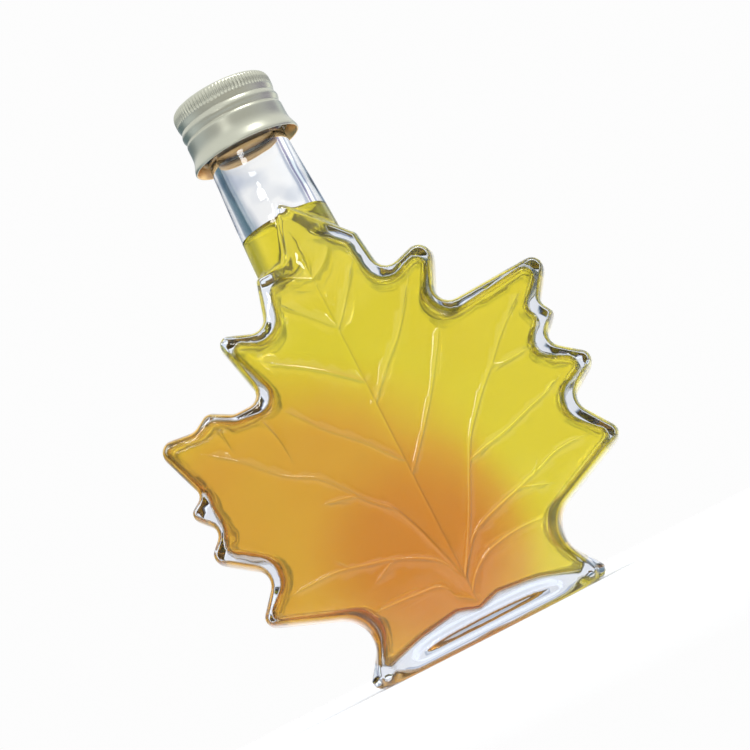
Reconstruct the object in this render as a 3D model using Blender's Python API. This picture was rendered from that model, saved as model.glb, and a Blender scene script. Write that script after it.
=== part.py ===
"""Maple leaf bottle: a leaf-shaped glass flask of syrup under an aluminium screw cap.

Blender 4.5 script. Sizes below are in millimetres, and meshes are made in metres.
+Z is up, the leaf faces -Y, and the origin is the middle of the foot's underside.
"""

from math import cos, hypot, pi, sin, tau

import bmesh
import bpy
from mathutils import Vector
from mathutils.geometry import delaunay_2d_cdt

MM = 0.001
GAP = 0.3  # clearance between one piece and the next

# The leaf at its parting line, each half from the top down: across, up, corner radius,
# and there the hollow's corner radius and the wall round it
LEAF_RIGHT = [
    (0.0, 102.0, 1.2, 2.0, 3.1),  # top point, lying on the neck
    (12.9, 87.2, 2.0, 3.0, 2.6),  # shoulder
    (14.1, 77.3, 2.4, 5.0, 3.1),
    (27.8, 81.6, 3.4, 2.2, 1.1),  # upper lobe
    (20.4, 65.3, 2.6, 5.2, 3.1),
    (47.3, 66.6, 3.0, 2.2, 1.2),  # large lobe
    (40.2, 56.4, 1.5, 4.0, 2.9),
    (41.9, 53.2, 1.2, 2.0, 3.0),  # small nub under it
    (37.3, 48.5, 2.2, 4.5, 2.9),
    (46.1, 41.6, 2.6, 2.0, 1.9),  # middle lobe
    (36.5, 35.2, 3.0, 6.0, 3.3),
    (43.6, 24.8, 2.6, 1.8, 2.0),  # lowest lobe
    (20.1, 14.4, 8.0, 9.0, 1.5),  # waist above the foot
]
LEAF_LEFT = [
    (3.8, 88.4, 1.0, 3.0, 3.1),  # where the top point meets the shoulder
    (10.9, 88.2, 1.5, 3.0, 2.6),  # shoulder
    (14.0, 77.4, 2.4, 5.0, 3.1),
    (24.9, 81.7, 2.2, 2.0, 1.1),  # upper lobe
    (21.0, 64.9, 2.6, 5.0, 2.8),
    (27.0, 64.9, 3.0, 3.0, 1.9),
    (32.3, 67.8, 2.5, 3.0, 1.9),  # tooth on the large lobe
    (36.3, 65.4, 3.0, 3.0, 1.2),
    (46.2, 66.7, 3.0, 2.2, 1.2),  # large lobe
    (41.2, 52.6, 1.5, 5.0, 1.1),
    (45.6, 49.7, 2.0, 2.0, 3.6),  # nub under it
    (40.8, 44.3, 2.0, 4.0, 1.0),
    (45.9, 39.3, 2.6, 2.0, 2.8),  # middle lobe
    (34.9, 31.3, 3.0, 5.0, 2.9),
    (42.4, 22.4, 2.4, 1.8, 1.4),  # lowest lobe
    (20.4, 13.9, 8.0, 9.0, 1.5),  # waist above the foot
]
FOOT_CORNER = (26.6, 0.6, 2.0)  # the leaf ends inside the foot
# Floor of the hollow: two low arches with a dip between them, across, up, corner radius
HOLLOW_FLOOR = [(23.2, 3.4, 1.0), (13.5, 6.0, 10.0), (4.6, 7.0, 2.5), (0.0, 5.6, 1.2)]

# From the parting line to a face: share of the inset, share of the half depth
EDGE_PROFILE = [(0.0, 0.0), (0.10, 0.50), (0.42, 0.86), (1.0, 1.0)]
LEAF_FACE_INSET = 1.6
LEAF_STEPS = 3  # straight steps round each corner
HOLLOW_FACE_INSET = 1.3
HOLLOW_FACE_WALL = 2.6
HOLLOW_STEPS = 2
SHOULDER_UP = 78.0  # from here up the hollow thins towards the bore
SHOULDER_REACH = 18.0
SHOULDER_WALL = 3.2
LEAF_HALF_WIDTH = 47.6

BELLY_UP = 40.0
BELLY_DEPTH = 14.2  # half depth where the flask is fullest
BASE_DEPTH = 12.8
TIP_UP = 103.0
TIP_DEPTH = 10.5
SIDE_DROP = 1.2  # how far a face falls back out at the lobes

VEIN_HALF_WIDTH = 0.8
VEIN_HEIGHT = 0.45
VEIN_STEP = 4.5
VEIN_CLEARANCE = 0.5  # from a face's edge
# Veins of the front face: thickness, then points across and up
MIDRIB = (0.8, [(0, 7.5), (0, 50), (0, 94)])
VEINS_RIGHT = [
    (0.7, [(0, 81.8), (3.5, 83.8), (6.7, 87.4)]),
    (0.8, [(0, 70), (2.3, 72.5), (5.2, 76.1), (9.7, 82)]),
    (1.0, [(0, 53), (5.8, 58.9), (10.5, 63.3), (15.2, 69.2), (17.9, 73.3)]),
    (0.9, [(0, 36.5), (2, 38.6), (9.2, 47.1), (15.2, 55.5), (19.6, 62.4)]),
    (1.1, [(0, 12.5), (6, 22.5), (12.2, 34.6), (14.8, 38.8), (20.3, 44.9), (25, 49.4), (29.3, 53.8),
           (35.2, 58.6), (38, 60.4)]),
    (0.9, [(12.2, 33.6), (16.2, 34.6), (21.2, 35.6), (27, 37.4), (32.8, 39.1), (36.9, 41.1)]),
    (0.8, [(24.7, 48.9), (27.5, 48.2), (34.8, 48.7)]),
    (1.0, [(0, 12.5), (2.8, 16.6), (6.4, 20.2), (12, 22.3), (18.1, 24), (23.7, 25.7), (29, 27.4),
           (36.2, 27.5)]),
    (0.7, [(18.1, 24), (22, 22.7), (25.9, 21.3)]),
    (0.7, [(22.6, 25.5), (24.8, 28.8)]),
    (0.8, [(0, 9.5), (2.5, 12.6), (6.2, 15.1), (11.2, 16.4), (16.4, 16.7), (21.6, 16)]),
]
VEINS_LEFT = [
    (0.7, [(0, 81.8), (3.5, 83.8), (6.2, 86)]),
    (0.8, [(0, 70.5), (5.5, 76.5), (9.6, 81)]),
    (1.0, [(0, 57.8), (5, 62.2), (8.9, 65.3), (14.2, 68.9), (18, 72)]),
    (0.9, [(0, 39.7), (2.8, 43), (6.4, 47.4), (11.9, 52.8), (15, 56.7), (18.6, 61.1)]),
    (0.8, [(22.5, 59.8), (21.2, 55), (20.8, 50), (21.4, 47.4)]),
    (0.7, [(31.2, 62), (30.6, 55.2)]),
    (1.1, [(0, 12.5), (3.3, 24), (6.1, 31), (8.3, 33.5), (11.4, 36.8), (16.9, 43.8), (23.9, 48.3),
           (30.6, 55), (37, 60)]),
    (0.9, [(12, 37.5), (16.1, 38.5), (20.5, 39.4)]),
    (1.0, [(0, 12.5), (2.8, 17.7), (6.1, 20.2), (11.3, 22.6), (16.7, 24.1), (21.1, 25.3), (25, 25.7),
           (34, 25.6)]),
    (0.7, [(11.3, 22.6), (14.4, 21), (18.3, 19.2)]),
    (0.7, [(20, 25.1), (23.2, 29.3)]),
    (0.8, [(0, 7.5), (3.2, 9.9), (4.2, 12.4), (6.1, 13.7), (11.1, 14.2), (16.7, 14.6), (20.8, 14.6)]),
]
FACE_GRID = 8.0

# Foot, from its shallow recess outwards and up: up, half width, half depth
FOOT_POWER = 3.2  # 2 would be an ellipse
FOOT_SIDES = 48
FOOT_RINGS = [
    (0.9, 21.5, 7.6), (0.0, 23.3, 9.2), (0.0, 25.0, 12.0), (0.5, 26.1, 13.3), (1.3, 26.8, 14.1),
    (2.5, 27.0, 14.4), (3.8, 26.2, 13.7), (5.5, 24.9, 12.6), (7.5, 23.4, 11.8), (11.0, 20.8, 10.9),
]

# Turned profiles: radius, up
NECK_SIDES = 40
NECK_PROFILE = [
    (10.4, 79.0), (10.4, 89.0), (10.1, 96.0), (9.7, 103.0), (9.25, 110.0), (9.0, 115.6),
    (9.9, 116.4), (10.4, 116.9), (10.4, 117.8), (9.4, 118.5), (9.4, 126.6), (8.9, 127.1),
]
BORE_SIDES = 32
FILL_UP = 97.0  # level of the syrup
BORE_PROFILE = [(7.2, 79.5), (7.2, 88.0), (6.95, FILL_UP), (6.6, 112.0), (6.6, 129.0)]

CAP_SIDES = 48
CAP_RIM_PROFILE = [
    (11.75, 115.2), (11.9, 115.0), (12.1, 115.0), (12.2, 115.2), (12.1, 115.8), (11.75, 116.7),
    (11.42, 117.7), (11.28, 119.0), (11.25, 121.3), (11.05, 121.7), (11.0, 122.0), (11.1, 122.4),
    (11.32, 122.9), (11.32, 123.6), (11.1, 124.2), (11.0, 124.5), (11.15, 125.0), (11.15, 125.8),
]
CAP_TOP_PROFILE = [(11.1, 128.3), (11.0, 128.6), (10.5, 129.1), (9.7, 129.35), (8.4, 129.4)]
CAP_INSIDE_PROFILE = [
    (9.6, 127.4), (10.4, 127.2), (10.7, 126.4), (10.7, 118.6), (10.95, 117.6), (11.4, 116.2),
]
KNURL_SPLIT = 3  # knurl points for each side of the cap
KNURL_CREST = 11.33
KNURL_ROOT = 11.05


def clear_scene():
    """Remove whatever the file holds, so that the model starts from nothing."""
    for old in list(bpy.data.objects):
        bpy.data.objects.remove(old, do_unlink=True)


def unit(x, z):
    """Scale a direction to length 1."""
    length = hypot(x, z)
    return x / length, z / length


def whole_leaf(right, left):
    """Clockwise outline from its two halves, each from the top down."""
    return right + [(-x, *rest) for x, *rest in reversed(left)]


def stepped_corner(corners, i, distance):
    """Corner of a clockwise outline stepped in by a distance, and whether it bulges."""
    x, z = corners[i][:2]
    before = corners[i - 1]
    after = corners[(i + 1) % len(corners)]
    ax, az = unit(x - before[0], z - before[1])
    bx, bz = unit(after[0] - x, after[1] - z)
    share = distance / (1 + az * bz + ax * bx)
    return x + (az + bz) * share, z - (ax + bx) * share, ax * bz - az * bx < 0


def inset(corners, distance, least_radius=0.6):
    """Step a clockwise outline in by a distance, keeping its corners."""
    result = []
    for i, corner in enumerate(corners):
        x, z, bulges = stepped_corner(corners, i, distance)
        radius = max(corner[2] - distance, least_radius) if bulges else corner[2] + distance
        result.append((x, z, radius))
    return result


def rounded(corners, steps):
    """Points of an outline whose corners are arcs of the given number of steps."""
    points = []
    for i, (x, z, radius) in enumerate(corners):
        before = corners[i - 1]
        after = corners[(i + 1) % len(corners)]
        to_before = Vector((before[0] - x, before[1] - z))
        to_after = Vector((after[0] - x, after[1] - z))
        room = 0.49 * min(to_before.length, to_after.length)
        half_angle = to_before.angle(to_after) / 2
        run = min(radius * cos(half_angle) / sin(half_angle), room)
        start = Vector((x, z)) + to_before.normalized() * run
        end = Vector((x, z)) + to_after.normalized() * run
        middle = (start + end) / 2
        centre = Vector((x, z)) + (middle - Vector((x, z))) / cos(half_angle) ** 2
        from_centre = start - centre
        sweep = from_centre.angle_signed(end - centre)
        for step in range(steps + 1):
            angle = -sweep * step / steps
            px = from_centre.x * cos(angle) - from_centre.y * sin(angle)
            pz = from_centre.x * sin(angle) + from_centre.y * cos(angle)
            points.append((centre.x + px, centre.y + pz))
    return points


def half_depth(x, z):
    """Half the flask's depth at a point of its face, without the veins."""
    if z < BELLY_UP:
        depth = BELLY_DEPTH - (BELLY_DEPTH - BASE_DEPTH) * ((BELLY_UP - z) / BELLY_UP) ** 2
    else:
        rise = (z - BELLY_UP) / (TIP_UP - BELLY_UP)
        depth = BELLY_DEPTH - (BELLY_DEPTH - TIP_DEPTH) * rise ** 1.8
    return depth - SIDE_DROP * (x / LEAF_HALF_WIDTH) ** 2


def hollow_depth(x, z):
    """Half the hollow's depth: it thins above the shoulders, towards the bore."""
    rise = min(max((z - SHOULDER_UP) / SHOULDER_REACH, 0), 1)
    return half_depth(x, z) - HOLLOW_FACE_WALL - SHOULDER_WALL * rise ** 2 * (3 - 2 * rise)


def filling_depth(x, z):
    """Half the syrup's depth."""
    return hollow_depth(x, z) - GAP


def edge_distance(outline, x, z):
    """Distance from a point to an outline, below zero outside it."""
    nearest = 1e9
    inside = False
    for i, (x2, z2) in enumerate(outline):
        x1, z1 = outline[i - 1]
        along = ((x - x1) * (x2 - x1) + (z - z1) * (z2 - z1)) / ((x2 - x1) ** 2 + (z2 - z1) ** 2)
        along = min(max(along, 0.0), 1.0)
        nearest = min(nearest, hypot(x - x1 - along * (x2 - x1), z - z1 - along * (z2 - z1)))
        if (z1 > z) != (z2 > z) and x < x1 + (z - z1) * (x2 - x1) / (z2 - z1):
            inside = not inside
    return nearest if inside else -nearest


def vein_stations(path, thickness):
    """Even stations along a vein: across, up, half width and height, thinning to its tip."""
    runs = [hypot(b[0] - a[0], b[1] - a[1]) for a, b in zip(path, path[1:])]
    total = sum(runs)
    stations = []
    travelled = 0.0
    for (a, b), run in zip(zip(path, path[1:]), runs):
        pieces = max(1, round(run / VEIN_STEP))
        for piece in range(pieces):
            share = piece / pieces
            thin = thickness * (1 - 0.55 * (travelled + share * run) / total)
            place = (a[0] + (b[0] - a[0]) * share, a[1] + (b[1] - a[1]) * share)
            stations.append((*place, VEIN_HALF_WIDTH * thin, VEIN_HEIGHT * thin))
        travelled += run
    stations.append((*path[-1], 0.0, 0.0))
    return stations


def all_veins():
    """Stations of every vein, over both halves of the face."""
    veins = [vein_stations(path, thickness) for thickness, path in [MIDRIB] + VEINS_RIGHT]
    for thickness, path in VEINS_LEFT:
        veins.append(vein_stations([(-x, z) for x, z in path], thickness))
    return veins


def vein_relief(veins, x, z):
    """Height of the veins above the face at a point."""
    relief = 0.0
    for stations in veins:
        for (x1, z1, wide1, high1), (x2, z2, wide2, high2) in zip(stations, stations[1:]):
            along = ((x - x1) * (x2 - x1) + (z - z1) * (z2 - z1)) / ((x2 - x1) ** 2 + (z2 - z1) ** 2)
            along = min(max(along, 0.0), 1.0)
            away = hypot(x - x1 - along * (x2 - x1), z - z1 - along * (z2 - z1))
            wide = wide1 + (wide2 - wide1) * along
            high = high1 + (high2 - high1) * along
            if away < wide:
                relief = max(relief, high * (1 - away / wide))
    return relief


def vein_lines(veins, outline):
    """Crest and both feet of each vein as lines, cut short of the face's edge."""
    lines = []
    for stations in veins:
        crest, left, right = [], [], []
        for i, (x, z, wide, _) in enumerate(stations):
            ahead = stations[min(i + 1, len(stations) - 1)]
            behind = stations[max(i - 1, 0)]
            dx, dz = unit(ahead[0] - behind[0], ahead[1] - behind[1])
            if edge_distance(outline, x, z) < wide + VEIN_CLEARANCE:
                break
            crest.append((x, z))
            left.append((x - dz * wide, z + dx * wide))
            right.append((x + dz * wide, z - dx * wide))
        lines += [crest, left, right]
    return lines


def face_triangles(outline, lines):
    """Triangles of a leaf face: points across and up, and three corners for each."""
    points = [Vector(point) for point in outline]
    edges = []
    for line in lines:
        first = len(points)
        points += [Vector(point) for point in line]
        edges += [(first + i, first + i + 1) for i in range(len(line) - 1)]
    drawn = [point.copy() for point in points]
    columns = int(LEAF_HALF_WIDTH / FACE_GRID) + 1
    for column in range(-columns, columns + 1):
        for row in range(1, int(TIP_UP / FACE_GRID) + 1):
            spot = Vector((column * FACE_GRID, row * FACE_GRID))
            if edge_distance(outline, *spot) < FACE_GRID / 3:
                continue
            if min((spot - other).length for other in drawn) > FACE_GRID / 3:
                points.append(spot)
    border = list(range(len(outline)))
    verts, _, faces, origins, _, _ = delaunay_2d_cdt(points, edges, [border], 1, 1e-4)
    return verts, faces, origins


def leaf_solid(name, corners, face_inset, face_depth, steps, veins=()):
    """Closed leaf: rings step in from the parting line to a front and a back face."""
    bm = bmesh.new()
    outlines = []
    for inset_share, depth_share in EDGE_PROFILE:
        stepped = inset(corners, inset_share * face_inset)
        outlines.append((rounded(stepped, steps), depth_share))
    face_outline = outlines[-1][0]
    verts, faces, origins = face_triangles(face_outline, vein_lines(veins, face_outline))
    middle = [bm.verts.new(Vector((x, 0, z)) * MM) for x, z in outlines[0][0]]
    count = len(middle)
    for side in (-1, 1):
        ring = middle
        for outline, depth_share in outlines[1:]:
            outer = ring
            ring = []
            for x, z in outline:
                y = side * depth_share * face_depth(x, z)
                ring.append(bm.verts.new(Vector((x, y, z)) * MM))
            for i in range(count):
                j = (i + 1) % count
                bm.faces.new((outer[i], outer[j], ring[j], ring[i]))
        face_verts = []
        for (x, z), sources in zip(verts, origins):
            on_edge = [source for source in sources if source < count]
            if on_edge:
                face_verts.append(ring[on_edge[0]])
                continue
            y = side * (face_depth(x, z) + vein_relief(veins, x, z))
            face_verts.append(bm.verts.new(Vector((x, y, z)) * MM))
        for face in faces:
            bm.faces.new([face_verts[i] for i in face])
    return finished(name, bm)


def stack_solid(name, rings):
    """Closed solid through rings of equal count, its first and last ring filled."""
    bm = bmesh.new()
    made = [[bm.verts.new(Vector(point) * MM) for point in ring] for ring in rings]
    for lower, upper in zip(made, made[1:]):
        for i in range(len(lower)):
            j = (i + 1) % len(lower)
            bm.faces.new((lower[i], lower[j], upper[j], upper[i]))
    bm.faces.new(made[0])
    bm.faces.new(made[-1])
    return finished(name, bm)


def circle(radius, up, sides):
    """One level ring of a turned piece."""
    return [(radius * cos(tau * i / sides), radius * sin(tau * i / sides), up) for i in range(sides)]


def turned(name, profile, sides):
    """Closed solid turned from a profile of radius and height."""
    return stack_solid(name, [circle(radius, up, sides) for radius, up in profile])


def oval(half_width, half_depth_here, up):
    """One level ring of the foot, between an ellipse and a rectangle."""
    points = []
    for i in range(FOOT_SIDES):
        c, s = cos(tau * i / FOOT_SIDES), sin(tau * i / FOOT_SIDES)
        x = half_width * abs(c) ** (2 / FOOT_POWER) * (1 if c > 0 else -1)
        y = half_depth_here * abs(s) ** (2 / FOOT_POWER) * (1 if s > 0 else -1)
        points.append((x, y, up))
    return points


def finished(name, bm):
    """Turn a bmesh into an object with its faces pointing out."""
    bmesh.ops.recalc_face_normals(bm, faces=bm.faces)
    mesh = bpy.data.meshes.new(name)
    bm.to_mesh(mesh)
    bm.free()
    mesh.shade_smooth()
    mesh.set_sharp_from_angle(angle=pi / 6)
    made = bpy.data.objects.new(name, mesh)
    bpy.context.scene.collection.objects.link(made)
    return made


def combine(target, tool, operation):
    """Join a helper solid to a piece, or cut it away, with a Boolean that stays live."""
    tool.hide_render = True
    tool.display_type = "WIRE"
    modifier = target.modifiers.new(operation.lower() + "_" + tool.name, "BOOLEAN")
    modifier.operation = operation
    modifier.solver = "EXACT"
    modifier.object = tool


def material(name, color, roughness, metallic=0.0, transmission=0.0, ior=1.5):
    """Principled material of one piece."""
    made = bpy.data.materials.new(name)
    made.use_nodes = True
    shader = made.node_tree.nodes["Principled BSDF"]
    shader.inputs["Base Color"].default_value = (*color, 1.0)
    shader.inputs["Roughness"].default_value = roughness
    shader.inputs["Metallic"].default_value = metallic
    shader.inputs["Transmission Weight"].default_value = transmission
    shader.inputs["IOR"].default_value = ior
    return made


def hollow_corners():
    """Outline of the hollow, with a thinner wall at the lobes than between them."""
    right = [(x, z, radius, wall) for x, z, _, radius, wall in LEAF_RIGHT]
    left = [(x, z, radius, wall) for x, z, _, radius, wall in LEAF_LEFT]
    floor = [(*corner, 0.0) for corner in HOLLOW_FLOOR]
    corners = whole_leaf(right + floor, left + floor[:-1])
    stepped = [stepped_corner(corners, i, corner[3]) for i, corner in enumerate(corners)]
    return [(x, z, corner[2]) for (x, z, _), corner in zip(stepped, corners)]


def bottle():
    """Glass flask: leaf, foot and neck in one, hollow and open at its mouth."""
    halves = [[corner[:3] for corner in half] + [FOOT_CORNER] for half in (LEAF_RIGHT, LEAF_LEFT)]
    corners = whole_leaf(*halves)
    glass = leaf_solid("bottle", corners, LEAF_FACE_INSET, half_depth, LEAF_STEPS, all_veins())
    foot = stack_solid("foot_shape", [oval(wide, deep, up) for up, wide, deep in FOOT_RINGS])
    neck = turned("neck_shape", NECK_PROFILE, NECK_SIDES)
    hollow = leaf_solid("hollow_shape", hollow_corners(), HOLLOW_FACE_INSET, hollow_depth, HOLLOW_STEPS)
    bore = turned("bore_shape", BORE_PROFILE, BORE_SIDES)
    combine(glass, foot, "UNION")
    combine(glass, neck, "UNION")
    combine(glass, hollow, "DIFFERENCE")
    combine(glass, bore, "DIFFERENCE")
    glass.data.materials.append(material("clear_glass", (0.95, 0.98, 0.98), 0.0, 0.0, 1.0, 1.5))
    return glass


def syrup():
    """Syrup: the hollow less a clearance, up to its level in the neck."""
    corners = inset(hollow_corners(), GAP)
    filling = leaf_solid("syrup", corners, HOLLOW_FACE_INSET, filling_depth, HOLLOW_STEPS)
    column_profile = [(radius - GAP, up) for radius, up in BORE_PROFILE if up <= FILL_UP]
    combine(filling, turned("column_shape", column_profile, BORE_SIDES), "UNION")
    filling.data.materials.append(material("golden_syrup", (0.85, 0.68, 0.10), 0.05, 0.0, 0.8, 1.4))
    return filling


def knurl_ring(up):
    """Ring of the cap's knurl: a crest, then a root, over and over."""
    points = []
    sides = CAP_SIDES * KNURL_SPLIT
    for i in range(sides):
        radius = KNURL_CREST if i % 2 == 0 else KNURL_ROOT
        points.append((radius * cos(tau * i / sides), radius * sin(tau * i / sides), up))
    return points


def cap():
    """Screw cap: thin shell with a flared rim, a rolled bead and a knurled band."""
    bm = bmesh.new()

    def add(points):
        return [bm.verts.new(Vector(point) * MM) for point in points]

    def wall(lower, upper):
        for i in range(len(lower)):
            j = (i + 1) % len(lower)
            bm.faces.new((lower[i], lower[j], upper[j], upper[i]))

    def shelf(plain, knurled):
        for i in range(CAP_SIDES):
            j = (i + 1) % CAP_SIDES
            teeth = [knurled[(i * KNURL_SPLIT + k) % len(knurled)] for k in range(KNURL_SPLIT + 1)]
            bm.faces.new([plain[j], plain[i]] + teeth)

    rim = [add(circle(radius, up, CAP_SIDES)) for radius, up in CAP_RIM_PROFILE]
    top = [add(circle(radius, up, CAP_SIDES)) for radius, up in CAP_TOP_PROFILE]
    inside = [add(circle(radius, up, CAP_SIDES)) for radius, up in CAP_INSIDE_PROFILE]
    knurl_low = add(knurl_ring(CAP_RIM_PROFILE[-1][1]))
    knurl_high = add(knurl_ring(CAP_TOP_PROFILE[0][1]))
    for rings in (rim, top, inside):
        for lower, upper in zip(rings, rings[1:]):
            wall(lower, upper)
    shelf(rim[-1], knurl_low)
    wall(knurl_low, knurl_high)
    shelf(top[0], knurl_high)
    wall(inside[-1], rim[0])
    bm.faces.new(top[-1])
    bm.faces.new(inside[0])
    shell = finished("cap", bm)
    shell.data.materials.append(material("pale_aluminium", (0.72, 0.70, 0.60), 0.35, 0.9))
    return shell


clear_scene()
bottle()
syrup()
cap()
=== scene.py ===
from math import cos, hypot, pi, radians, sin, tau

import bmesh
import bpy
import numpy as np
from mathutils import Matrix, Vector, noise
from mathutils.geometry import delaunay_2d_cdt
from mathutils.kdtree import KDTree


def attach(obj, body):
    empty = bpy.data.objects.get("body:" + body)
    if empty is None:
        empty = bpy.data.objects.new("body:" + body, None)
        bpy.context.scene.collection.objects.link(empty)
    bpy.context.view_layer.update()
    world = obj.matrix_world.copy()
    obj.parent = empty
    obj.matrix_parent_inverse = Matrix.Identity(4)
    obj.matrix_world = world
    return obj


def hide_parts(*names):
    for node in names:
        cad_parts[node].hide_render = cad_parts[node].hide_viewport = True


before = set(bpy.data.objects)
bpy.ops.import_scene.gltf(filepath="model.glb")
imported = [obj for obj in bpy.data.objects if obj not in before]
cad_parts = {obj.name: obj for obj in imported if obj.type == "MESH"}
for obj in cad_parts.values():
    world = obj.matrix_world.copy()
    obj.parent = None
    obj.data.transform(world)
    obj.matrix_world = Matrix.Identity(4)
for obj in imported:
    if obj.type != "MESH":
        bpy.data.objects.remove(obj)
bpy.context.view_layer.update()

# Lengths are in millimetres here, and in metres once a mesh is made
MM = 0.001

# The leaf at its parting line, each half from the top down: across, up, corner radius,
# and there the hollow's corner radius and the wall round it
LEAF_RIGHT = [
    (0.0, 102.0, 1.2, 2.0, 3.1),  # top point, lying on the neck
    (12.9, 87.2, 2.0, 3.0, 2.6),  # shoulder
    (14.1, 77.3, 2.4, 5.0, 3.1),
    (27.8, 81.6, 3.4, 2.2, 1.1),  # upper lobe
    (20.4, 65.3, 2.6, 5.2, 3.1),
    (47.3, 66.6, 3.0, 2.2, 1.2),  # large lobe
    (40.2, 56.4, 1.5, 4.0, 2.9),
    (41.9, 53.2, 1.2, 2.0, 3.0),  # small nub under it
    (37.3, 48.5, 2.2, 4.5, 2.9),
    (46.1, 41.6, 2.6, 2.0, 1.9),  # middle lobe
    (36.5, 35.2, 3.0, 6.0, 3.3),
    (43.6, 24.8, 2.6, 1.8, 2.0),  # lowest lobe
    (20.1, 14.4, 8.0, 9.0, 1.5),  # waist above the foot
]
LEAF_LEFT = [
    (3.8, 88.4, 1.0, 3.0, 3.1),  # where the top point meets the shoulder
    (10.9, 88.2, 1.5, 3.0, 2.6),  # shoulder
    (14.0, 77.4, 2.4, 5.0, 3.1),
    (24.9, 81.7, 2.2, 2.0, 1.1),  # upper lobe
    (21.0, 64.9, 2.6, 5.0, 2.8),
    (27.0, 64.9, 3.0, 3.0, 1.9),
    (32.3, 67.8, 2.5, 3.0, 1.9),  # tooth on the large lobe
    (36.3, 65.4, 3.0, 3.0, 1.2),
    (46.2, 66.7, 3.0, 2.2, 1.2),  # large lobe
    (41.2, 52.6, 1.5, 5.0, 1.1),
    (45.6, 49.7, 2.0, 2.0, 3.6),  # nub under it
    (40.8, 44.3, 2.0, 4.0, 1.0),
    (45.9, 39.3, 2.6, 2.0, 2.8),  # middle lobe
    (34.9, 31.3, 3.0, 5.0, 2.9),
    (42.4, 22.4, 2.4, 1.8, 1.4),  # lowest lobe
    (20.4, 13.9, 8.0, 9.0, 1.5),  # waist above the foot
]
FOOT_CORNER = (26.6, 0.6, 2.0)
# Floor of the hollow: two low arches with a dip between them, across, up, corner radius
HOLLOW_FLOOR = [(23.2, 3.4, 1.0), (13.5, 6.0, 10.0), (4.6, 7.0, 2.5), (0.0, 5.6, 1.2)]

LEAF_FACE_INSET = 1.6
HOLLOW_FACE_INSET = 1.3
HOLLOW_FACE_WALL = 2.6
SHOULDER_UP = 78.0  # from here up the hollow thins towards the bore
SHOULDER_REACH = 18.0
SHOULDER_WALL = 3.2
EDGE_POWER = 2.3  # how square an edge is
EDGE_LEVELS = 14
LEAF_HALF_WIDTH = 47.6

BELLY_UP = 40.0
BELLY_DEPTH = 14.2
BASE_DEPTH = 12.8
TIP_UP = 103.0
TIP_DEPTH = 10.5
TIP_CURVE = 1.8  # power by which the upper face falls back to the tip
SIDE_DROP = 1.2

# Spacing of the mesh
EDGE_SPACING = 0.8
FACE_SPACING = 1.5
HOLLOW_SPACING = 1.3
HOLLOW_FACE_SPACING = 2.08
CORNER_STEPS = 5  # least steps round a corner
CORNER_SHARE = 0.49  # most of a side that the rounding of one corner takes
# A face's grid, as shares of its spacing: from row to row, off the outline, off the lines
ROW_RISE = 0.866
OUTLINE_ROOM = 0.6
LINE_ROOM = 0.55
MERGE_DISTANCE = 0.02  # points of a face that are closer than this become one

# Softened joins: how far from a join they reach, and how many rounds of smoothing
GLASS_SOFTNESS = (2.6, 20)
HOLLOW_SOFTNESS = (2.5, 20)
# Unevenness of the hollow's walls
RIPPLE_HEIGHT = 0.35
RIPPLE_LENGTH = 11.0
RIPPLE_SEED = 3.7

VEIN_HALF_WIDTH = 0.5
VEIN_HEIGHT = 0.38
VEIN_SHARPNESS = 1.15
VEIN_BACK = 0.35  # their share of that height on the back
VEIN_STEP = 0.8
VEIN_THINNING = 0.55  # how much of its thickness a vein loses on its way
VEIN_THINNING_CURVE = 1.5
VEIN_MARGIN = 0.75  # the mesh lines along a vein end this far from the face's edge
VEIN_TIP = 3.0  # over this last stretch it runs out into the face
VEIN_TIP_LEAST = 0.15  # share of its thickness that is left at the end
# Veins of the front face: thickness where each starts, then points across and up
MIDRIB = (0.8, [(0, 7.5), (0, 50), (0, 94)])
VEINS_RIGHT = [
    (0.7, [(0, 81.8), (3.5, 83.8), (6.7, 87.4)]),
    (0.8, [(0, 70), (2.3, 72.5), (5.2, 76.1), (9.7, 82)]),
    (1.0, [(0, 53), (5.8, 58.9), (10.5, 63.3), (15.2, 69.2), (17.9, 73.3)]),
    (0.9, [(0, 36.5), (2, 38.6), (9.2, 47.1), (15.2, 55.5), (19.6, 62.4)]),
    (1.1, [(0, 12.5), (6, 22.5), (12.2, 34.6), (14.8, 38.8), (20.3, 44.9), (25, 49.4), (29.3, 53.8),
           (35.2, 58.6), (38, 60.4)]),
    (0.9, [(12.2, 33.6), (16.2, 34.6), (21.2, 35.6), (27, 37.4), (32.8, 39.1), (36.9, 41.1)]),
    (0.8, [(24.7, 48.9), (27.5, 48.2), (34.8, 48.7)]),
    (1.0, [(0, 12.5), (2.8, 16.6), (6.4, 20.2), (12, 22.3), (18.1, 24), (23.7, 25.7), (29, 27.4),
           (36.2, 27.5)]),
    (0.7, [(18.1, 24), (22, 22.7), (25.9, 21.3)]),
    (0.7, [(22.6, 25.5), (24.8, 28.8)]),
    (0.8, [(0, 9.5), (2.5, 12.6), (6.2, 15.1), (11.2, 16.4), (16.4, 16.7), (21.6, 16)]),
]
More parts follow.
